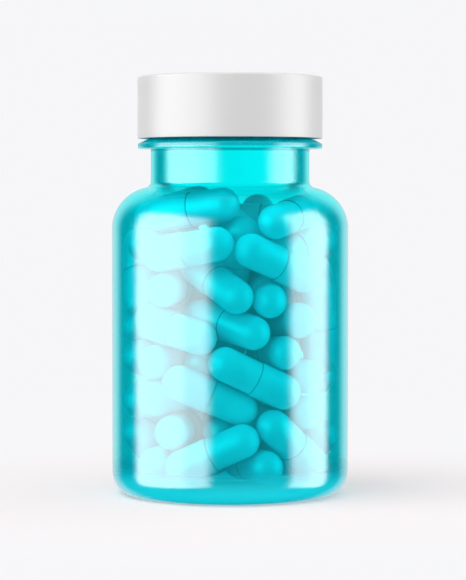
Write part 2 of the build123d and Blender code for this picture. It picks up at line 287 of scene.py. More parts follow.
@dataclass(frozen=True)
class TintedPlastic:
    """Clear tinted plastic with a satin skin, whose tint deepens where the eye looks along the wall.

    A ray meets the skin at an angle whose cosine is c. The tint is shallow at c = 1 and rises by
    edge_depth as c falls through the edge_turn range. The wall also shows a band of painted shade,
    of a depth of its own, which rises over band_rise and falls over band_fall. Both lose tilt_loss
    of their depth where the skin isn't upright. The bead's face is darker, partly from the tint of
    thick plastic and partly with painted shade of the cap above it, and the line under the bead is
    a painted shadow. Haze is mixed in, most of it near the thick base and hardly any in the neck.
    """

    shallow: Colour = (0.006, 0.99, 1.0)
    # deep tint of long paths through the plastic, also the colour of all the painted shade on the bottle
    deep: Colour = (0.0, 0.36, 0.41)
    band_rise: Span = (0.20, 0.46)
    band_fall: Span = (0.48, 0.65)
    # painted shade: how dark the band on the wall gets
    painted_band_shade: float = 0.44
    edge_turn: Span = (0.4, 0.9)
    edge_depth: float = 0.08
    tilt: Span = (0.25, 0.75)
    tilt_loss: float = 0.75
    haze: float = 0.18
    haze_colour: Colour = (0.0, 0.78, 0.90)
    haze_roughness: float = 0.6
    haze_lost_in_deep: float = 0.6
    base: Span = (2.0 * MM, 8.0 * MM)
    base_haze: float = 0.82
    neck: Span = (57 * MM, 66 * MM)
    neck_haze: float = 0.01
    neck_gloss: float = 0.62
    neck_blur: float = 0.06
    bead_bottom: float = 75.85 * MM
    # painted shadow: a thin dark line under the bead, how far below the bead it lies and how wide it is
    painted_shadow_below_bead: float = 0.35 * MM
    painted_shadow_width: float = 0.42 * MM
    bead_face: Span = (0.25 * MM, 0.6 * MM)
    # darkening of the bead's face and the finish above: tint of thick plastic and painted shade of the cap
    bead_tint_and_shade: float = 0.8
    bead_haze: float = 0.2
    gloss: float = 0.075
    gloss_colour: Colour = (0.96, 0.86, 0.86)
    roughness: float = 0.21
    inner_clear: Colour = (0.97, 1.0, 1.0)
    inner_gloss_colour: Colour = (0.1, 0.93, 1.0)
    inner_gloss: float = 0.1
    inner_gloss_most: float = 0.25
    inner_grain: float = 0.5 * MM
    inner_blur: float = 0.06
    inner_ripple: float = 0.002 * MM
    haze_spread: float = 0.03
    satin: Satin = Satin(9 * MM, 0.35 * MM, 0.03, 0.05, 0.0016 * MM, cloud_layers=1.0)

    def mirrored(self, cosine: Value, head_on: float) -> Value:
        """Share of light mirrored: the head-on share, rising with the fifth power towards grazing."""
        return head_on + (1 - head_on) * (1 - cosine) ** 5

    def depth(self, tree: Tree, level: Value, outward: Value) -> Value:
        """How deep the tint is, with painted shade added: a band on the wall, the bead's face and a line
        under the bead.

        Args:
            tree: The material's tree.
            level: Height above the floor.
            outward: 1 where the skin is seen from its outer side.

        Returns:
            0 for the shallow tint, 1 for the deep tint or the fullest painted shade.
        """
        cosine = tree.facing()
        rise = tree.parts(tree.node("ShaderNodeNewGeometry").outputs["True Normal"])[2]
        upright = 1 - abs(rise).eased(*self.tilt) * self.tilt_loss
        # painted shade: a dark band where the wall is seen half edge-on
        painted_shade_band = cosine.eased(*self.band_rise) * (1 - cosine.eased(*self.band_fall))
        wall = (painted_shade_band * self.painted_band_shade + (1 - cosine.eased(*self.edge_turn)) * self.edge_depth) * upright
        # painted shadow: a thin dark line just under the bead, on the outer side
        away = abs(level - self.bead_bottom + self.painted_shadow_below_bead)
        under = 1 - (away / self.painted_shadow_width).least(1.0)
        # the bead's face and the finish above it: thick plastic's tint and painted shade of the cap, on the
        # outer side
        return wall.most(under * outward).most(self.bead(level) * outward * self.bead_tint_and_shade)

    def bead(self, level: Value) -> Value:
        """1 from the neck bead's face up, 0 below it."""
        return level.eased(*(self.bead_bottom + step for step in self.bead_face))

    def outside(self) -> bpy.types.Material:
        """The skin that is seen from outside, which carries the tint with its painted shade, the haze and
        the gloss.

        Returns:
            The material.
        """
        made = bpy.data.materials.new("tinted_plastic_outside")
        tree = Tree(made)
        level = tree.parts(tree.place())[2]
        neck = level.eased(*self.neck)
        outward = 1 - tree.value("ShaderNodeNewGeometry", "Backfacing")
        # the depth carries the tint and the painted shade of the band, the bead's face and the line under
        # the bead
        depth = self.depth(tree, level, outward)
        through = tree.mix(depth, tree.clear(self.shallow), tree.clear(self.deep))
        clouds, rough, normal = self.satin.skin(tree, self.roughness + neck * self.neck_blur)
        uneven = self.haze + (clouds - 0.5) * self.haze_spread
        spread = uneven * (1 - depth * self.haze_lost_in_deep) * (1 - neck)
        thick = (1 - level.eased(*self.base)) * self.base_haze + self.bead(level) * self.bead_haze
        haze = spread + neck * self.neck_haze + thick
        matt = {"Roughness": self.haze_roughness, "Specular_IOR_Level": 0.0}
        hazy = tree.principled(Base_Color=self.haze_colour, **matt)
        gloss = tree.gloss(self.gloss_colour, rough, normal)
        share = self.mirrored(tree.facing(), self.gloss) * outward * (1 - neck * (1 - self.neck_gloss))
        tree.finish(tree.mix(share, tree.mix(haze, through, hazy), gloss))
        return made

    def inside(self) -> bpy.types.Material:
        """The inner skin: nearly clear, with a weaker gloss of its own.

        Returns:
            The material.
        """
        made = bpy.data.materials.new("tinted_plastic_inside")
        tree = Tree(made)
        mottle = tree.noise(self.inner_grain, 3.0)
        rough = self.roughness + (mottle - 0.5) * self.inner_blur
        share = self.mirrored(tree.facing(), self.gloss * self.inner_gloss).least(self.inner_gloss_most)
        gloss = tree.gloss(self.inner_gloss_colour, rough, tree.bump(mottle, self.inner_ripple))
        tree.finish(tree.mix(share, tree.clear(self.inner_clear), gloss))
        return made


class Tone(Enum):
    """A capsule's body half, its cap half, and the painted shade in the gap where the cap half ends."""

    BODY = (0.20, 0.71, 0.79)
    CAP = (0.19, 0.69, 0.77)
    # painted shade: the dark of the gap at the cap's rim
    SEAM = (0.05, 0.26, 0.30)


@dataclass(frozen=True)
class CapsuleShell:
    """Satin shell of a hard capsule, a little uneven in colour."""

    tone: Tone
    roughness: float = 0.36
    lighter: tuple[float, float] = (1.06, 0.01)
    darker: float = 0.95
    contrast: Span = (0.3, 0.7)
    satin: Satin = Satin(7 * MM, 0.5 * MM, 0.06, 0.10, 0.0010 * MM)

    def material(self) -> bpy.types.Material:
        """Build the shell's material.

        Returns:
            The material.
        """
        made = bpy.data.materials.new(f"capsule_shell_{self.tone.name.lower()}")
        tree = Tree(made)
        clouds, rough, normal = self.satin.skin(tree, self.roughness)
        factor, lift = self.lighter
        pale = tuple(part * factor + lift for part in self.tone.value)
        dark = tuple(part * self.darker for part in self.tone.value)
        colour = tree.blend(clouds.eased(*self.contrast), dark, pale)
        tree.finish(tree.principled(Base_Color=colour, Roughness=rough, Normal=normal))
        return made


@dataclass(frozen=True)
class WhitePlastic:
    """White moulded plastic with a satin bloom."""

    colour: Colour = (0.648, 0.648, 0.648)
    roughness: float = 0.40
    specular: float = 0.34
    warmth: Colour = (1.0, 0.995, 0.98)
    contrast: Span = (0.25, 0.75)
    satin: Satin = Satin(12 * MM, 0.22 * MM, 0.05, 0.10, 0.0018 * MM, grain_layers=2.0)

    def material(self) -> bpy.types.Material:
        """Build the cap's material.

        Returns:
            The material.
        """
        made = bpy.data.materials.new("white_plastic")
        tree = Tree(made)
        clouds, rough, normal = self.satin.skin(tree, self.roughness)
        warm = tuple(part * factor for part, factor in zip(self.colour, self.warmth))
        colour = tree.blend(clouds.eased(*self.contrast), self.colour, warm)
        tree.finish(tree.principled(Base_Color=colour, Roughness=rough, Normal=normal,
                                    Specular_IOR_Level=self.specular))
        return made


@dataclass(frozen=True)
class LinerFoam:
    """Foamed liner: off-white, matt and full of fine cells."""

    colour: Colour = (0.86, 0.86, 0.84)
    darker: float = 0.93
    contrast: Span = (0.3, 0.9)
    cell: float = 0.28 * MM
    cell_share: float = 0.7
    cell_depth: float = 0.02 * MM
    cloud: float = 6 * MM
    cloud_share: float = 0.5
    cloud_blur: float = 0.1
    roughness: float = 0.75

    def material(self) -> bpy.types.Material:
        """Build the liner's material.

        Returns:
            The material.
        """
        made = bpy.data.materials.new("liner_foam")
        tree = Tree(made)
        inputs = {"Vector": tree.place(), "Scale": 1 / self.cell}
        cells = tree.value("ShaderNodeTexVoronoi", "Distance", None, inputs)
        clouds = tree.noise(self.cloud)
        shade = tuple(part * self.darker for part in self.colour)
        share = (cells * self.cell_share + clouds * self.cloud_share).eased(*self.contrast)
        colour = tree.blend(share, shade, self.colour)
        rough = self.roughness + (clouds - 0.5) * self.cloud_blur
        normal = tree.bump(cells, self.cell_depth)
        tree.finish(tree.principled(Base_Color=colour, Roughness=rough, Normal=normal))
        return made


# ---------------------------------------------------------------- profiles and turned surfaces


def arc(centre: Sequence[float], radii: Sequence[float], start: float, end: float, steps: int) -> Array:
    """Part of an ellipse: centre + (first radius x cos a, second radius x sin a).

    Args:
        centre: Radius and level of its centre.
        radii: Half-axes outward and upward.
        start: First angle in degrees.
        end: Last angle in degrees.
        steps: Spaces between points.

    Returns:
        Points as rows of radius and level.
    """
    angle = np.radians(np.linspace(start, end, steps + 1))
    return np.column_stack([centre[0] + radii[0] * np.cos(angle), centre[1] + radii[1] * np.sin(angle)])


def line(start: Sequence[float], end: Sequence[float], steps: int) -> Array:
    """Evenly spaced points from start to end."""
    return np.linspace(start, end, steps + 1)


def rounded(corners: Sequence[tuple[float, float, float]], steps: int = 5) -> Array:
    """A run of straight lines whose corners are rounded by tangent arcs.

    Args:
        corners: Radius, level and rounding of each corner. The first and last stay sharp.
        steps: Spaces between points on each rounding.

    Returns:
        Points as rows of radius and level.
    """
    points = [np.array([corners[0][:2]])]
    for before, here, after in zip(corners, corners[1:], corners[2:]):
        corner, rounding = np.array(here[:2]), here[2]
        back, ahead = (np.array(p[:2]) - corner for p in (before, after))
        back, ahead = back / np.hypot(*back), ahead / np.hypot(*ahead)
        half = math.acos(float(np.clip(back @ ahead, -1, 1))) / 2
        if rounding <= 0 or half > math.pi / 2 - 1e-3:
            points.append(corner[None])
            continue
        middle = corner + (back + ahead) / np.hypot(*(back + ahead)) * rounding / math.sin(half)
        first, last = (corner + way * rounding / math.tan(half) - middle for way in (back, ahead))
        start = math.degrees(math.atan2(first[1], first[0]))
        sweep = (math.degrees(math.atan2(last[1], last[0])) - start + 180) % 360 - 180
        points.append(arc(middle, (rounding, rounding), start, start + sweep, steps))
    points.append(np.array([corners[-1][:2]]))
    return np.concatenate(points)


def path(*runs: Array) -> Array:
    """Runs joined end to end, with repeated points dropped.

    Args:
        runs: Rows of radius and level.

    Returns:
        All the rows in turn.
    """
    points = np.concatenate(runs)
    apart = np.hypot(*np.diff(points, axis=0).T) > 1e-8
    return points[np.concatenate([[True], apart])]


@dataclass
class Surface:
    """Points and faces of a surface.

    The corners of all the faces stand in one row, and sizes says how many belong to each face.
    """

    points: Array
    corners: Array
    sizes: Array
    finish: Array

    def moved(self, middle: Array, along: Array) -> "Surface":
        """Turn +Z to a direction and shift the origin.

        Args:
            middle: Where the origin goes.
            along: Unit vector that +Z goes to.

        Returns:
            The moved surface.
        """
        helper = np.eye(3)[np.abs(along).argmin()]
        side = np.cross(helper, along)
        side /= np.linalg.norm(side)
        turn = np.column_stack([side, np.cross(along, side), along])
        return Surface(self.points @ turn.T + middle, self.corners, self.sizes, self.finish)


def turned(profile: Array, segments: int, finish: Callable[[Array], Array] | int = 0,
           swell: Callable[[Array, Array], Array] | None = None) -> Surface:
    """Turn a profile about the Z axis: (r cos a, r sin a, z) on a grid of profile points and angles.

    Args:
        profile: Rows of radius and level, from the axis and back to it, solid on the left.
        segments: Steps round the axis.
        finish: Material number, or one for each profile step from the steps' middles.
        swell: What is added to the radius, as a function of level and angle grids.

    Returns:
        The closed surface, with one point at each pole.
    """
    angle = 2 * math.pi * np.arange(segments) / segments
    rings = profile[1:-1]
    levels, angles = np.meshgrid(rings[:, 1], angle, indexing="ij")
    radii = np.repeat(rings[:, :1], segments, axis=1)
    if swell is not None:
        radii = radii + swell(levels, angles)
    grid = np.stack([radii * np.cos(angles), radii * np.sin(angles), levels], axis=-1).reshape(-1, 3)
    points = np.concatenate([grid, [[0, 0, profile[0, 1]], [0, 0, profile[-1, 1]]]])
    row, step = np.meshgrid(np.arange(len(rings) - 1), np.arange(segments), indexing="ij")
    here, there = row * segments + step, row * segments + (step + 1) % segments
    quads = np.stack([here, there, there + segments, here + segments], axis=-1).reshape(-1, 4)
    first, last, around = len(grid), len(grid) + 1, np.arange(segments)
    top = (len(rings) - 1) * segments
    following = (around + 1) % segments
    low = np.column_stack([np.full(segments, first), following, around])
    high = np.column_stack([top + around, top + following, np.full(segments, last)])
    middles = (profile[1:] + profile[:-1]) / 2
    numbers = np.full(len(middles), finish) if isinstance(finish, int) else finish(middles)
    numbers = np.concatenate([np.repeat(numbers[1:-1], segments), np.repeat(numbers[:1], segments),
                              np.repeat(numbers[-1:], segments)])
    corners = np.concatenate([quads.ravel(), low.ravel(), high.ravel()])
    sizes = np.repeat([4, 3], [len(quads), 2 * segments])
    return Surface(points, corners, sizes, numbers.astype(np.int32))


def joined(surfaces: Sequence[Surface]) -> Surface:
    """Several surfaces as one.

    Args:
        surfaces: The surfaces.

    Returns:
        One surface with all their points and faces, in the same order.
    """
    starts = np.cumsum([0] + [len(s.points) for s in surfaces])
    points = np.concatenate([s.points for s in surfaces])
    corners = np.concatenate([s.corners + start for s, start in zip(surfaces, starts)])
    sizes = np.concatenate([s.sizes for s in surfaces])
    return Surface(points, corners, sizes, np.concatenate([s.finish for s in surfaces]))


def piece(name: str, surface: Surface, materials: Sequence[bpy.types.Material],
          sharp: float = 32.0) -> bpy.types.Object:
    """Make an object of a surface, at the origin.

    Args:
        name: The piece's name.
        surface: Its points, faces and material numbers.
        materials: Its materials.
        sharp: Edges that turn by more degrees than this stay sharp.

    Returns:
        The object, linked to the scene.
    """
    mesh = bpy.data.meshes.new(name)
    mesh.vertices.add(len(surface.points))
    mesh.vertices.foreach_set("co", surface.points.ravel())
    mesh.loops.add(len(surface.corners))
    mesh.loops.foreach_set("vertex_index", surface.corners)
    mesh.polygons.add(len(surface.sizes))
    mesh.polygons.foreach_set("loop_start", np.cumsum(surface.sizes) - surface.sizes)
    mesh.polygons.foreach_set("material_index", surface.finish)
    mesh.update(calc_edges=True)
    for material in materials:
        mesh.materials.append(material)
    mesh.shade_smooth()
    mesh.set_sharp_from_angle(angle=math.radians(sharp))
    made = bpy.data.objects.new(name, mesh)
    bpy.context.scene.collection.objects.link(made)
    log.info("%s: %d faces", name, len(surface.sizes))
    return made


@dataclass
class Thread:
    """A screw rib: a trapezium carried up a helix, dying away at both ends."""

    start_level: float
    start_turn: float
    outward: int
    turns: float = 1.25
    pitch: float = 25.4 / 6 * MM
    height: float = 1.2 * MM
    crest: float = 1.0 * MM
    flank: float = 0.5
    fade: float = 30 / 360

    def swell(self, levels: Array, angles: Array) -> Array:
        """How far the rib stands from the wall.

        A point at distance d up or down from the helix stands (half root width - d) / flank high,
        at most the rib's height, which rises as a squared sine over the fade at each end.

        Args:
            levels: Levels of the grid.
            angles: Angles of the grid.

        Returns:
            Heights, negative in a cap.
        """
        half_root = self.crest / 2 + self.height * self.flank
        stands = np.zeros_like(levels)
        for lap in range(math.ceil(self.turns) + 1):
            turn = (angles / (2 * math.pi) - self.start_turn) % 1.0 + lap
            away = np.abs(levels - self.start_level - turn * self.pitch)
            rise = np.clip(np.minimum(turn, self.turns - turn) / self.fade, 0, 1)
            most = self.height * np.sin(rise * math.pi / 2) ** 2
            stands = np.maximum(stands, np.clip((half_root - away) / self.flank, 0, most))
        return self.outward * stands


# ---------------------------------------------------------------- the vial


@dataclass
class Bottle:
    """The tinted bottle: heel, wall, shoulder, neck, bead and threaded finish in one turned piece."""

    body_radius: float
    mouth: float
    body_height: float = 67.55 * MM
    wall: float = 2.0 * MM
    floor: float = 3.6 * MM
    shoulder_radius: float = 9.35 * MM
    heel: tuple[float, float] = (4.2 * MM, 5.2 * MM)
    inner_heel: float = 2.5 * MM
    ring_width: float = 2.3 * MM
    push_up: float = 1.4 * MM
    neck_radius: float = 17.45 * MM
    neck_wall: float = 1.55 * MM
    neck_fillet: float = 1.5 * MM
    collar: float = 8.3 * MM
    bead_overhang: float = 2.82 * MM
    bead_rim: float = 1.1 * MM
    bead_slope: float = 1.3 * MM
    bead_rounding: float = 0.25 * MM
    bead_foot: float = 0.12 * MM
    bead_run_out: float = 0.3 * MM
    lip_rounding: float = 0.4 * MM
    thread_setdown: float = 2.0 * MM
    segments: int = 288

    def shoulder(self, arc_radius: float, neck: float, fillet: float, steps: int) -> Array:
        """The shoulder's arc and the fillet that leads it into a neck.

        Args:
            arc_radius: Radius of the shoulder's arc.
            neck: Radius of the neck it leads to.
            fillet: Radius of the fillet.
            steps: Spaces between points on the arc.

        Returns:
            Points from the top of the wall to the foot of the neck.
        """
        centre = self.body_radius - self.shoulder_radius
        start = self.body_height - self.shoulder_radius
        reach = neck + fillet - centre
        climb = math.sqrt((arc_radius + fillet) ** 2 - reach**2)
        turn = math.degrees(math.atan2(climb, reach))
        bow = arc((centre, start), (arc_radius, arc_radius), 0, turn, steps)
        lead = arc((neck + fillet, start + climb), (fillet, fillet), 180 + turn, 180, steps // 3)
        return path(bow, lead)

    def profile(self) -> Array:
        """The bottle's section, from the push-up round the outside and back along the inside.

        Returns:
            Rows of radius and level.
        """
        foot = self.body_radius - self.heel[0]
        ring = foot - self.ring_width
        dome = (ring**2 + self.push_up**2) / (2 * self.push_up)
        radius = np.linspace(0, ring, 19)
        base = np.column_stack([radius, self.push_up - dome + np.sqrt(dome**2 - radius**2)])
        ring_face = line((ring, 0), (foot, 0), 2)
        heel = arc((foot, self.heel[1]), self.heel, -90, 0, 20)
        bead_bottom = self.body_height + self.collar
        rim_top = bead_bottom + self.bead_rim
        bead_top = rim_top + self.bead_slope
        bead = self.neck_radius + self.bead_overhang
        outer = self.shoulder(self.shoulder_radius, self.neck_radius, self.neck_fillet, 30)
        neck = self.neck_radius
        flange = rounded([(neck, outer[-1, 1], 0),
                          (neck, bead_bottom, self.bead_foot),
                          (bead, bead_bottom, self.bead_rounding),
                          (bead, rim_top, self.bead_rounding),
                          (neck, bead_top, self.bead_foot),
                          (neck, bead_top + self.bead_run_out, 0)])
        lip_start = self.mouth - self.lip_rounding
        finish = line(flange[-1], (neck, lip_start), 84)
        bore = neck - self.neck_wall
        inner_fillet = self.neck_fillet + self.neck_wall
        inner = self.shoulder(self.shoulder_radius - self.wall, bore, inner_fillet, 24)[::-1]
        lip = rounded([(neck, lip_start, 0),
                       (neck, self.mouth, self.lip_rounding),
                       (bore, self.mouth, self.lip_rounding),
                       (bore, inner[0, 1], 0)])
        inside = self.body_radius - self.wall
        bend = self.inner_heel
        inner_heel = arc((inside - bend, self.floor + bend), (bend, bend), 0, -90, 12)
        wall = line(heel[-1], outer[0], 24)
        room = line(inner[-1], inner_heel[0], 24)
        floor = line(inner_heel[-1], (0, self.floor), 12)
        return path(base, ring_face, heel, wall, outer, flange, finish, lip, inner, room, inner_heel, floor)

    def finish_of(self, middles: Array) -> Array:
        """Material number of each step of the profile: 0 outside, 1 inside.

        Args:
            middles: Radius and level of each step's middle.

        Returns:
            The numbers.
        """
        bore = self.neck_radius - self.neck_wall + HAIR
        inside = self.body_radius - self.wall + HAIR
        deep = (middles[:, 1] > self.floor - HAIR) & (middles[:, 0] < inside)
        neck = middles[:, 1] > self.body_height - self.wall
        lining = deep & (~neck | (middles[:, 0] < bore))
        after = np.arange(len(middles)) > middles[:, 1].argmax()
        return (lining & after).astype(np.int32)

    def build(self, plastic: TintedPlastic) -> None:
        """Build and dress the bottle, riding on its body in place of the CAD bottle.

        Args:
            plastic: What it is moulded of.
        """
        start = self.mouth - self.thread_setdown - Thread.turns * Thread.pitch
        thread = Thread(start, 0.0, 1)
        bead_top = self.body_height + self.collar + self.bead_rim + self.bead_slope

        def swell(levels: Array, angles: Array) -> Array:
            """The thread, on the outside of the finish alone."""
            outside = np.arange(len(levels))[:, None] <= levels[:, 0].argmax()
            return np.where(outside & (levels > bead_top), thread.swell(levels, angles), 0.0)

        surface = turned(self.profile(), self.segments, self.finish_of, swell)
        made = piece("vial_bottle", surface, [plastic.outside(), plastic.inside()])
        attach(made, "bottle")
        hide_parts("bottle")


@dataclass
class Cap:
    """The white screw cap: a smooth skirt and top with a thread and a liner lip inside."""

    radius: float
    bottom: float
    top: float
    mouth: float
    liner_top: float
    wall: float = 1.36 * MM
    edge: float = 0.5 * MM
    bevel: float = 0.5 * MM
    lip_height: float = 0.5 * MM
    lip_depth: float = 0.3 * MM
    lip_clearance: float = 0.05 * MM
    lip_rounding: float = 0.08 * MM
    ceiling_rounding: float = 0.1 * MM
    foot_rounding: Span = (0.15 * MM, 0.12 * MM)
    foot_run: float = 1 * MM
    thread_lift: float = 1.6 * MM
    thread_turn: float = -0.151
    segments: int = 256

    def profile(self) -> Array:
        """The cap's section, from the ceiling down the inside and up the outside to the top.

        Returns:
            Rows of radius and level.
        """
        inner = self.radius - self.wall
        lip_top = self.mouth - self.lip_clearance
        lip_bottom = lip_top - self.lip_height
        lip = inner - self.lip_depth
        ceiling = rounded([(0, self.liner_top, 0),
                           (inner * 0.5, self.liner_top, 0),
                           (inner, self.liner_top, self.ceiling_rounding),
                           (inner, lip_top, 0),
                           (lip, lip_top, self.lip_rounding),
                           (lip, lip_bottom, self.lip_rounding),
                           (inner, lip_bottom, 0)])
        bevel_top = self.bottom + self.bevel
        wall = line(ceiling[-1], (inner, bevel_top), 76)
        skirt = rounded([(inner, bevel_top, 0),
                         (inner + self.bevel, self.bottom, self.foot_rounding[0]),
                         (self.radius, self.bottom, self.foot_rounding[1]),
                         (self.radius, self.bottom + self.foot_run, 0)])
        shoulder = self.top - 2 * self.edge
        side = line(skirt[-1], (self.radius, shoulder), 16)
        crown = rounded([(self.radius, shoulder, 0),
                         (self.radius, self.top, self.edge),
                         (self.radius * 0.8, self.top, 0)], 8)
        return path(ceiling, wall, skirt, side, crown, line(crown[-1], (0, self.top), 10))

    def build(self, plastic: WhitePlastic) -> None:
        """Build and dress the cap, riding on its body in place of the CAD cap.

        Args:
            plastic: What it is moulded of.
        """
        thread = Thread(self.bottom + self.thread_lift, self.thread_turn, -1)
        inner = self.radius - self.wall
        profile = self.profile()
        threaded = np.isclose(profile[1:-1, 0], inner) & (profile[1:-1, 1] < self.mouth - self.lip_height)

        def swell(levels: Array, angles: Array) -> Array:
            """The thread, on the skirt's inner wall alone."""
            return np.where(threaded[:, None], thread.swell(levels, angles), 0.0)

        made = piece("screw_cap", turned(profile, self.segments, 0, swell), [plastic.material()])
        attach(made, "cap")
        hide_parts("cap")


@dataclass
class Liner:
    """The foam disc in the cap, with the ring that the mouth has pressed into it."""

    radius: float
    bottom: float
    top: float
    pressed_radius: float
    pressed_width: float = 1.8 * MM
    pressed_depth: float = 0.09 * MM
    rounding: float = 0.15 * MM

    def profile(self) -> Array:
        """The disc's section; the pressed ring is a squared cosine across its width.

        Returns:
            Rows of radius and level.
        """
        radius = np.linspace(0, self.radius - self.rounding, 90)
        across = np.clip((radius - self.pressed_radius) / self.pressed_width, -1, 1)
        pressed = self.pressed_depth * np.cos(across * math.pi / 2) ** 2
        under = np.column_stack([radius, self.bottom + pressed])
        edge = rounded([(self.radius - 2 * self.rounding, self.bottom, 0),
                        (self.radius, self.bottom, self.rounding),
                        (self.radius, self.top, self.rounding),
                        (self.radius * 0.9, self.top, 0)])
        return path(under[:-1], edge[1:], line(edge[-1], (0, self.top), 8))

    def build(self, foam: LinerFoam) -> None:
        """Build and dress the liner, riding on its body in place of the CAD liner.

        Args:
            foam: What it is cut from.
        """
        made = piece("cap_liner_disc", turned(self.profile(), 160), [foam.material()])
        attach(made, "liner")
        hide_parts("cap_liner")


# ---------------------------------------------------------------- the capsules


@dataclass
class Laid:
    """Where a capsule lies: its middle, the direction of its cap end, its length and radius."""

    middle: Array
    along: Array
    length: float
    radius: float


def shells_of(mesh: bpy.types.Mesh) -> list[tuple[Array, Array]]:
    """Split a mesh into its separate shells, in the order of their first triangles.

    Points that share a place are one point, and each takes the lowest number that it can reach
    through triangles.

    Args:
        mesh: A CAD node's mesh.

    Returns:
        For each shell, the middles of its triangles and their areas.
    """
    mesh.calc_loop_triangles()
    places = np.empty(len(mesh.vertices) * 3, np.float32)
    mesh.vertices.foreach_get("co", places)
    places = places.reshape(-1, 3).astype(float)
    corners = np.empty(len(mesh.loop_triangles) * 3, np.int32)
    mesh.loop_triangles.foreach_get("vertices", corners)
    _, same = np.unique(np.round(places / (2e-3 * MM)).astype(np.int64), axis=0, return_inverse=True)
    triangles = same.reshape(-1)[corners].reshape(-1, 3)
    reach = np.arange(triangles.max() + 1)
    while True:
        lowest = reach[triangles].min(axis=1)
        lower = reach.copy()
        np.minimum.at(lower, triangles.ravel(), np.repeat(lowest, 3))
        lower = lower[lower]
        if np.array_equal(lower, reach):
            break
        reach = lower
    label = reach[triangles[:, 0]]
    _, first = np.unique(label, return_index=True)
    a, b, c = (places[corners.reshape(-1, 3)[:, k]] for k in range(3))
    areas = np.linalg.norm(np.cross(b - a, c - a), axis=1) / 2
    middles = (a + b + c) / 3
    return [(middles[label == label[start]], areas[label == label[start]]) for start in np.sort(first)]


def laid_in(node: bpy.types.Object) -> list[Laid]:
    """Find the capsules in a CAD node, which holds a body, its powder and a cap for each.

    The axis is the direction in which the body's area lies furthest apart, towards the cap.

    Args:
        node: The CAD node's object.

    Returns:
        One entry for each capsule.
    """
    shells = shells_of(node.data)
    found = []
    for body, _, cap in zip(shells[0::3], shells[1::3], shells[2::3]):
        centre, cap_centre = (np.average(m, axis=0, weights=a) for m, a in (body, cap))
        spread = (body[0] - centre) * np.sqrt(body[1])[:, None]
        along = np.linalg.svd(spread.T @ spread)[0][:, 0]
        along = along * np.sign(along @ (cap_centre - centre))
        ends = np.concatenate([(m - centre) @ along for m, _ in (body, cap)])
        off_axis = (cap[0] - centre) - np.outer((cap[0] - centre) @ along, along)
        low, high = float(ends.min()), float(ends.max())
        radius = float(np.linalg.norm(off_axis, axis=1).max())
        found.append(Laid(centre + along * (low + high) / 2, along, high - low, radius))
    return found


@dataclass
class Capsule:
    """A hard capsule: a round-ended body and the slightly wider cap slipped over it."""

    length: float = 21.7 * MM
    radius: float = 3.825 * MM
    cap_length: float = 10.8 * MM
    shell: float = 0.11 * MM
    slip: float = 0.045 * MM
    overlap: float = 2.5 * MM
    seam: float = 0.16 * MM
    rim_rounding: Span = (0.035 * MM, 0.06 * MM)
    rim_run: float = 1 * MM
    segments: int = 48
    dome_steps: int = 14
    surface: Surface = field(init=False)

    def __post_init__(self) -> None:
        """Turn both halves about their common axis, cap towards +Z."""
        half, bore = self.length / 2, self.radius - self.shell
        body_radius = bore - self.slip
        rim = half - self.cap_length
        dome = arc((0, body_radius - half), (body_radius,) * 2, -90, 0, self.dome_steps)
        levels = (rim - self.seam, rim + self.seam, rim + self.overlap)
        side = [(body_radius, level) for level in levels]
        body = path(dome, side, [(0, levels[-1])])
        inner = arc((0, half - self.radius), (bore,) * 2, 90, 0, 5)
        edge = rounded([(bore, rim + self.rim_run, 0),
                        (bore, rim, self.rim_rounding[0]),
                        (self.radius, rim, self.rim_rounding[1]),
                        (self.radius, rim + self.rim_run, 0)], 3)
        outer = arc((0, half - self.radius), (self.radius,) * 2, 0, 90, self.dome_steps)
        cap = path(inner, edge, outer)
        tones = {tone: number for number, tone in enumerate(Tone)}

        def body_tone(middles: Array) -> Array:
            """The body's own tone, and painted shade in a band beside the cap's rim."""
            return np.where(np.abs(middles[:, 1] - rim) < self.seam, tones[Tone.SEAM], tones[Tone.BODY])

        def cap_tone(middles: Array) -> Array:
            """The cap's own tone, and painted shade on the rim itself."""
            rim_painted_shade = (middles[:, 0] < self.radius - 0.3 * self.shell) & (middles[:, 1] < rim + self.rim_run)
            return np.where(rim_painted_shade, tones[Tone.SEAM], tones[Tone.CAP])

        self.surface = joined([turned(body, self.segments, body_tone), turned(cap, self.segments, cap_tone)])

    def placed(self, laid: Laid) -> Surface:
        """The capsule where it lies."""
        return self.surface.moved(laid.middle, laid.along)


@dataclass
class Heap:
    """All the capsules: one piece for each CAD node that holds some."""

    capsule: Capsule

    def build(self, nodes: dict[str, bpy.types.Object]) -> None:
        """Build and dress the capsules.

        Args:
            nodes: The CAD nodes by name.
        """
        materials = [CapsuleShell(tone).material() for tone in Tone]
        for name in sorted(n for n in nodes if n.startswith("capsule")):
            laid = laid_in(nodes[name])
            surface = joined([self.capsule.placed(one) for one in laid])
            shown = piece(f"{name}_shells", surface, materials, 40.0)
            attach(shown, "bottle")
            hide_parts(name)
            log.info("%s: %d capsules, %.2f mm long", name, len(laid), laid[0].length / MM)


# ---------------------------------------------------------------- studio


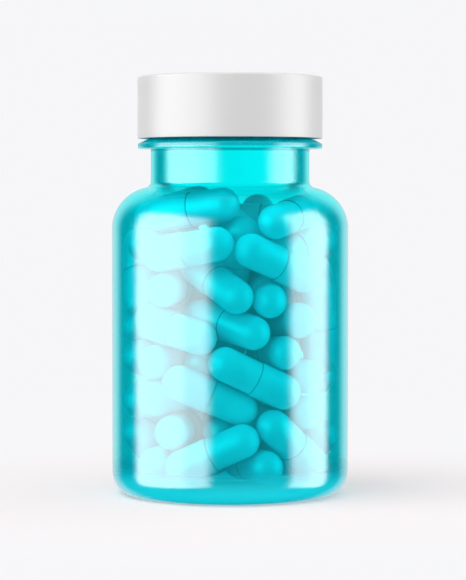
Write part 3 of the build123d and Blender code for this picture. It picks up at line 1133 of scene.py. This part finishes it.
@dataclass(frozen=True)
class SoftBox:
    """A flat lamp that faces the vial and shows only in gloss."""

    name: str
    azimuth: tuple[float, float]
    levels: tuple[float, float]
    strength: float
    distance: float = 0.5

    def build(self) -> None:
        """Hang the lamp. Azimuths run from the front, positive towards +X."""
        middle = math.radians(sum(self.azimuth) / 2)
        spread = math.radians(self.azimuth[1] - self.azimuth[0]) / 2
        lamp = bpy.data.lights.new(self.name, "AREA")
        lamp.shape = "RECTANGLE"
        lamp.size = 2 * self.distance * math.tan(spread)
        lamp.size_y = self.levels[1] - self.levels[0]
        lamp.energy = self.strength * math.pi * lamp.size * lamp.size_y
        made = bpy.data.objects.new(self.name, lamp)
        out, front = self.distance * math.sin(middle), self.distance * math.cos(middle)
        made.location = (out, -front, sum(self.levels) / 2)
        made.rotation_euler = (math.pi / 2, 0, middle)
        made.visible_camera = made.visible_diffuse = made.visible_transmission = False
        bpy.context.scene.collection.objects.link(made)


@dataclass(frozen=True)
class Sun:
    """A wide soft lamp that lights surfaces but shows in no gloss."""

    name: str
    strength: float
    width: float
    tilt: float
    turn: float

    def build(self) -> None:
        """Hang the lamp, with its angles in degrees."""
        lamp = bpy.data.lights.new(self.name, "SUN")
        lamp.energy = self.strength
        lamp.angle = math.radians(self.width)
        made = bpy.data.objects.new(self.name, lamp)
        made.rotation_euler = (math.radians(self.tilt), 0, math.radians(self.turn))
        made.visible_glossy = made.visible_camera = False
        bpy.context.scene.collection.objects.link(made)


@dataclass
class Studio:
    """Floor, background, lamps and camera."""

    background: Colour = (0.922, 0.922, 0.939)
    sky: float = 0.66
    behind: Span = (0.66, 0.80)
    behind_top: Span = (0.5, 0.8)
    below: Span = (0.16, 0.34)
    below_share: float = 0.06
    overhead: Span = (0.45, 0.9)
    overhead_share: float = 0.04
    dimmest: float = 0.01
    # painted warmth near the vial, which cancels the cyan light the bottle throws on the floor
    floor_painted_warm_near_vial: Colour = (0.75, 0.68, 0.675)
    floor_far: Colour = (0.69, 0.688, 0.695)
    floor_change: Span = (0.035, 0.12)
    floor_glow: float = 0.36
    floor_fade: Span = (0.09, 0.26)
    floor_cloud: float = 50 * MM
    floor_mottle: float = 0.1
    floor_rings: tuple[tuple[float, float, int], ...] = ((0.0, 0.3, 16), (0.4, 3.0, 14))
    floor_segments: int = 72
    eye: tuple[float, float, float] = (0.64 * MM, -515 * MM, 66 * MM)
    tilt: float = 2.36
    lens: float = 145.1
    box_levels: Span = (-260 * MM, 400 * MM)

    def world(self) -> None:
        """A white background, which gloss sees behind the vial and hardly at all below or overhead."""
        world = bpy.data.worlds.new("studio")
        bpy.context.scene.world = world
        tree = Tree(world)
        rays = tree.node("ShaderNodeLightPath")
        seen = Value(tree, rays.outputs["Is Camera Ray"])
        glossy = Value(tree, rays.outputs["Is Glossy Ray"])
        x, y, z = tree.parts(tree.node("ShaderNodeTexCoord").outputs["Generated"])
        level = (x * x + y * y).root().most(1e-4)
        behind = (y / level).eased(*self.behind) * (1 - abs(z).eased(*self.behind_top))
        below = (0 - z).eased(*self.below) * self.below_share
        overhead = z.eased(*self.overhead) * self.overhead_share
        shown = behind.most(below).most(overhead) * (1 - 2 * self.dimmest) + self.dimmest
        strength = seen + (1 - seen) * (glossy * shown + (1 - glossy) * self.sky)
        shade = tree.node("ShaderNodeBackground", None, {"Color": self.background, "Strength": strength})
        tree.node("ShaderNodeOutputWorld", None, {"Surface": shade.outputs[0]})

    def floor(self) -> None:
        """A round pale floor that fades into the background."""
        segments = self.floor_segments
        steps = np.arange(segments)
        radius = np.concatenate([np.linspace(*rings) for rings in self.floor_rings])
        ring, around = np.meshgrid(radius[1:], 2 * math.pi * steps / segments, indexing="ij")
        grid = np.stack([ring * np.cos(around), ring * np.sin(around), np.zeros_like(ring)], axis=-1)
        row, step = np.meshgrid(np.arange(len(radius) - 2), steps, indexing="ij")
        here, there = row * segments + step, row * segments + (step + 1) % segments
        quads = np.stack([here, here + segments, there + segments, there], axis=-1).reshape(-1, 4)
        fan = np.column_stack([np.full(segments, ring.size), steps, (steps + 1) % segments])
        points = np.concatenate([grid.reshape(-1, 3), [[0, 0, 0]]])
        corners = np.concatenate([quads.ravel(), fan.ravel()])
        sizes = np.repeat([4, 3], [len(quads), segments])
        surface = Surface(points, corners, sizes, np.zeros(len(sizes), np.int32))
        made = piece("floor", surface, [self.floor_material()])
        made.visible_glossy = False

    def floor_material(self) -> bpy.types.Material:
        """Matt, faintly mottled and painted warm near the vial, where the warmth cancels the cyan light that
        the bottle throws on it; it glows with a share of the background's light there, which lifts its
        shadows, and with the background's own light further out.

        Returns:
            The material.
        """
        made = bpy.data.materials.new("pale_floor")
        tree = Tree(made)
        x, y, _ = tree.parts(tree.place())
        radius = (x * x + y * y).root()
        # painted light: near the vial the floor glows with a share of the background's light, which lifts
        # its shadows
        far = self.floor_glow + (1 - self.floor_glow) * radius.eased(*self.floor_fade)
        change = radius.eased(*self.floor_change) + (tree.noise(self.floor_cloud) - 0.5) * self.floor_mottle
        # painted warm near the vial against the bottle's cyan light, neutral further out
        pale = tree.blend(change, self.floor_painted_warm_near_vial, self.floor_far)
        matt = tree.principled(Base_Color=pale, Roughness=0.9, Specular_IOR_Level=0.0)
        glow = tree.node("ShaderNodeEmission", None, {"Color": self.background, "Strength": 1.0})
        tree.finish(tree.mix(far, matt, glow.outputs[0]))
        return made

    def lamps(self) -> None:
        """A soft key from the left, a weak fill from the right, and soft boxes that show in the gloss."""
        lamps = (Sun("key", 1.8, 46, 28, -60),
                 Sun("fill", 1.1, 90, 43, 72),
                 SoftBox("soft_box_left", (-101, -20), self.box_levels, 6.0),
                 SoftBox("soft_box_left_core", (-101, -44), self.box_levels, 2.0),
                 SoftBox("soft_box_right", (60, 105), self.box_levels, 6.2),
                 SoftBox("soft_box_right_core", (80, 105), self.box_levels, 1.6))
        for lamp in lamps:
            lamp.build()

    def camera(self) -> None:
        """The camera, a little above the middle of the vial and looking slightly down."""
        data = bpy.data.cameras.new("camera")
        data.lens = self.lens
        data.sensor_width = 36.0
        data.clip_start, data.clip_end = 0.01, 20.0
        made = bpy.data.objects.new("camera", data)
        made.location = self.eye
        made.rotation_euler = (math.radians(90 - self.tilt), 0, 0)
        bpy.context.scene.collection.objects.link(made)
        bpy.context.scene.camera = made

    def build(self) -> None:
        """Set up the whole studio."""
        bpy.context.scene.view_settings.view_transform = "Standard"
        self.world()
        self.floor()
        self.lamps()
        self.camera()


def main() -> None:
    """Build the studio, the bottle, its cap and liner, and the heap of capsules."""
    logging.basicConfig(level=logging.INFO, format="%(name)s: %(message)s")
    Studio().build()
    _, bottle_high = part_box("bottle")
    cap_low, cap_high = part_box("cap")
    liner_low, liner_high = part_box("cap_liner")
    Bottle(bottle_high.x, bottle_high.z).build(TintedPlastic())
    Cap(cap_high.x, cap_low.z, cap_high.z, bottle_high.z, liner_high.z).build(WhitePlastic())
    seal = Bottle.neck_radius - Bottle.neck_wall / 2
    Liner(liner_high.x, liner_low.z, liner_high.z, seal).build(LinerFoam())
    Heap(Capsule()).build(frame["nodes"])


if __name__ == "__main__":
    main()
